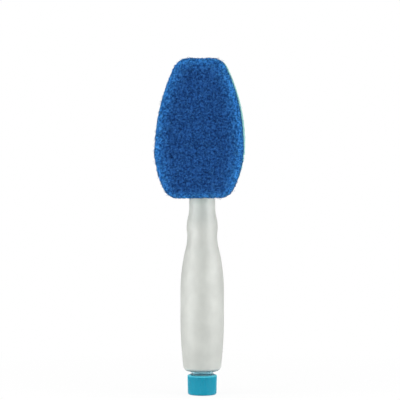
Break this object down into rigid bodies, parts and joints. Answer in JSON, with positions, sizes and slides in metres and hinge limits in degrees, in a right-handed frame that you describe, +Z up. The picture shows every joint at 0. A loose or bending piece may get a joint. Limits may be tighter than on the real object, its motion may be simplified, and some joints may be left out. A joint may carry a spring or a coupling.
{
  "type": "dish wand",
  "caption": "Fillable dish wand: a translucent soap-bottle handle with a screw cap, a soap valve and a slide-on scrubbing head of sponge and fibre pad.",
  "frame": {"origin": "centre of the cap's flat end, which the wand stands on", "axes": "+Z up the handle towards the head, scrubbing face towards -Y, +X to the right seen from the scrubbing face"},
  "size_m": [0.0642, 0.0419, 0.2386],
  "materials": {
    "cap_plastic": "satin turquoise moulding",
    "bottle_plastic": "frosted translucent natural plastic",
    "head_plastic": "satin turquoise moulding",
    "liner_foam": "white closed-cell foam",
    "seal_rubber": "black seal rubber",
    "valve_silicone": "milky silicone",
    "sponge_foam": "pale aqua open-cell sponge",
    "scrub_fibre": "blue non-woven scrubbing fibre"
  },
  "bodies": {
    "cap": {"screw_cap": "cap_plastic"},
    "liner": {"cap_liner": "liner_foam"},
    "handle": {"handle_bottle": "bottle_plastic", "socket_seal": "seal_rubber", "head_carrier": "head_plastic", "outlet_valve": "valve_silicone", "valve_retainer": "head_plastic", "port_gasket": "seal_rubber"},
    "head": {"head_base": "head_plastic", "sponge": "sponge_foam", "scrub_pad": "scrub_fibre"}
  },
  "joints": [
    {"name": "cap_turn", "type": "hinge", "parent": "cap", "child": "liner", "pos_m": [0, 0, 0], "axis": [0, 0, 1], "range_deg": [0, 720]},
    {"name": "cap_lift", "type": "slide", "parent": "liner", "child": "handle", "axis": [0, 0, 1], "range_m": [0, 0.006]},
    {"name": "head_slide", "type": "slide", "parent": "handle", "child": "head", "axis": [0, 0.1045, 0.9945], "range_m": [0, 0.033]}
  ],
  "couplings": [
    {"joint": "cap_lift", "follows": "cap_turn", "m_per_rad": 0.00047746}
  ]
}
